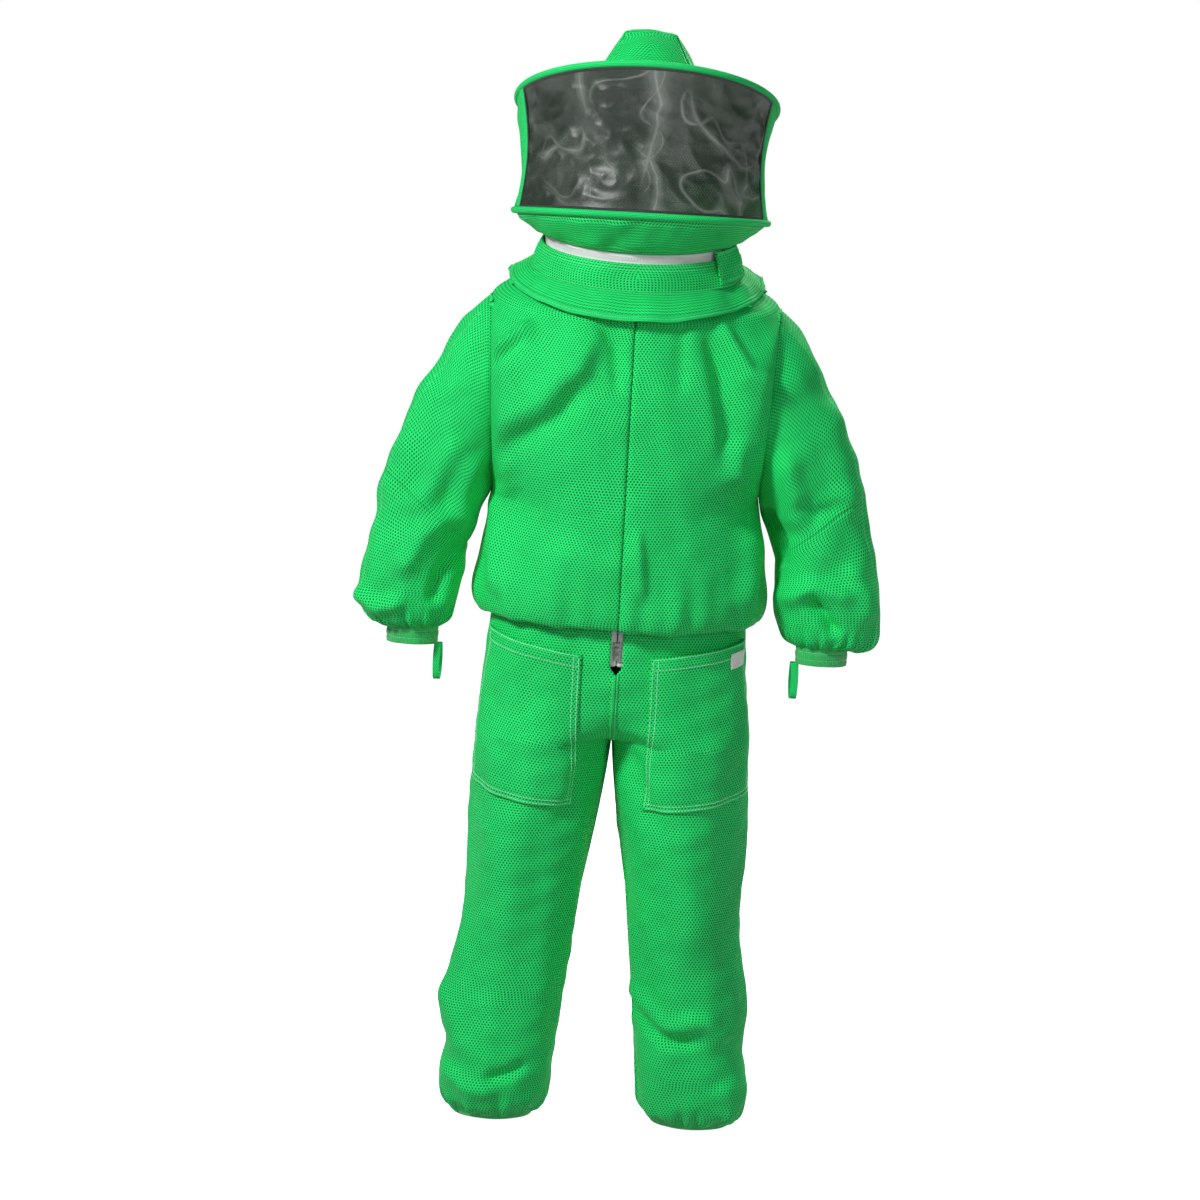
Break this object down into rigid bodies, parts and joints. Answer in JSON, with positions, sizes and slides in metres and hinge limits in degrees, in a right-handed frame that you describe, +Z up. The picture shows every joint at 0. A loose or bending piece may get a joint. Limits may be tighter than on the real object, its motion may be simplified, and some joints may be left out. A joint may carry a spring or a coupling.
{
  "type": "beekeeping suit",
  "caption": "Full-body ventilated protective suit with a round veil hood on a neck zip, collar cape, elastic cuffs with thumb loops, patch pockets and elastic ankles.",
  "frame": {"origin": "centre of the neck zip's ring, where the collar sits round the wearer's neck", "axes": "+Z up the body, -Y to the wearer's front, +X to the wearer's left"},
  "size_m": [0.812, 0.403, 1.7055],
  "materials": {
    "mesh_cloth": "three-layer ventilated mesh",
    "ribbed_cloth": "elasticated ribbed cloth",
    "white_tape": "woven tape and coil",
    "elastic": "covered elastic",
    "spring_wire": "spring steel",
    "zip_metal": "gunmetal",
    "veil_netting": "fine black net"
  },
  "bodies": {
    "suit": {"neck_zip_lower_tape": "white_tape", "neck_zip_lower_coil": "white_tape", "flap_loop_patch": "ribbed_cloth", "collar_stand": "mesh_cloth", "collar_cape": "mesh_cloth", "collar_piping": "mesh_cloth", "front_left": "mesh_cloth", "front_right": "mesh_cloth", "back_panel": "mesh_cloth", "waist_elastic": "elastic", "front_zip_tape_left": "white_tape", "front_zip_tape_right": "white_tape", "front_zip_coils": "white_tape", "trouser_front_left": "mesh_cloth", "trouser_front_right": "mesh_cloth", "trouser_back_left": "mesh_cloth", "trouser_back_right": "mesh_cloth", "pocket_left": "mesh_cloth", "pocket_right": "mesh_cloth", "pocket_patch": "white_tape"},
    "hood": {"hat_crown": "mesh_cloth", "hat_brim": "mesh_cloth", "hat_sweatband": "ribbed_cloth", "brim_wire": "spring_wire", "brim_binding": "mesh_cloth", "veil_net": "veil_netting", "hood_back": "mesh_cloth", "veil_seam_left": "mesh_cloth", "veil_seam_right": "mesh_cloth", "ring_wire": "spring_wire", "ring_binding": "mesh_cloth", "hood_skirt": "mesh_cloth", "neck_zip_upper_tape": "white_tape", "neck_zip_upper_coil": "white_tape"},
    "neck_slider": {"neck_zip_slider": "zip_metal"},
    "flap": {"zip_flap": "mesh_cloth", "flap_hook_patch": "white_tape"},
    "top_slider": {"top_slider": "zip_metal"},
    "bottom_slider": {"bottom_slider": "zip_metal"},
    "bottom_pull": {"bottom_pull": "zip_metal"},
    "upper_arm_left": {"sleeve_left": "mesh_cloth"},
    "forearm_left": {"forearm_left": "mesh_cloth", "cuff_left": "ribbed_cloth", "cuff_elastic_left": "elastic", "thumb_loop_left": "mesh_cloth"},
    "lower_leg_left": {"leg_left": "mesh_cloth", "ankle_band_left": "ribbed_cloth", "ankle_elastic_left": "elastic"},
    "upper_arm_right": {"sleeve_right": "mesh_cloth"},
    "forearm_right": {"forearm_right": "mesh_cloth", "cuff_right": "ribbed_cloth", "cuff_elastic_right": "elastic", "thumb_loop_right": "mesh_cloth"},
    "lower_leg_right": {"leg_right": "mesh_cloth", "ankle_band_right": "ribbed_cloth", "ankle_elastic_right": "elastic"}
  },
  "joints": [
    {"name": "hood_fold", "type": "hinge", "parent": "suit", "child": "hood", "pos_m": [0, 0.196, 0.035], "axis": [-1, 0, 0], "range_deg": [0, 150]},
    {"name": "neck_zip_travel", "type": "hinge", "parent": "suit", "child": "neck_slider", "pos_m": [0, 0, 0], "axis": [0, -0.2079, 0.9781], "range_deg": [-212, 0]},
    {"name": "flap_fold", "type": "hinge", "parent": "suit", "child": "flap", "pos_m": [0.1503, -0.07, -0.055], "axis": [0.4695, 0.8636, 0.1836], "range_deg": [0, 90]},
    {"name": "top_zip_travel", "type": "slide", "parent": "suit", "child": "top_slider", "axis": [0, 0, 1], "range_m": [-0.4, 0]},
    {"name": "bottom_zip_travel", "type": "slide", "parent": "suit", "child": "bottom_slider", "axis": [0, 0, 1], "range_m": [0, 0.07]},
    {"name": "bottom_pull_swing", "type": "hinge", "parent": "bottom_slider", "child": "bottom_pull", "pos_m": [0, -0.1318, -0.6155], "axis": [-1, 0, 0], "range_deg": [0, 110]},
    {"name": "shoulder_left", "type": "hinge", "parent": "suit", "child": "upper_arm_left", "pos_m": [0.2223, 0, -0.0928], "axis": [0, -1, 0], "range_deg": [0, 80]},
    {"name": "elbow_left", "type": "hinge", "parent": "upper_arm_left", "child": "forearm_left", "pos_m": [0.3026, -0.0896, -0.4278], "axis": [-0.7781, 0, -0.6281], "range_deg": [0, 95]},
    {"name": "knee_left", "type": "hinge", "parent": "suit", "child": "lower_leg_left", "pos_m": [0.126, 0.0962, -1.0103], "axis": [1, 0, 0], "range_deg": [0, 85]},
    {"name": "shoulder_right", "type": "hinge", "parent": "suit", "child": "upper_arm_right", "pos_m": [-0.2223, 0, -0.0928], "axis": [0, 1, 0], "range_deg": [0, 80]},
    {"name": "elbow_right", "type": "hinge", "parent": "upper_arm_right", "child": "forearm_right", "pos_m": [-0.3026, -0.0896, -0.4278], "axis": [-0.7781, 0, 0.6281], "range_deg": [0, 95]},
    {"name": "knee_right", "type": "hinge", "parent": "suit", "child": "lower_leg_right", "pos_m": [-0.126, 0.0962, -1.0103], "axis": [1, 0, 0], "range_deg": [0, 85]}
  ]
}
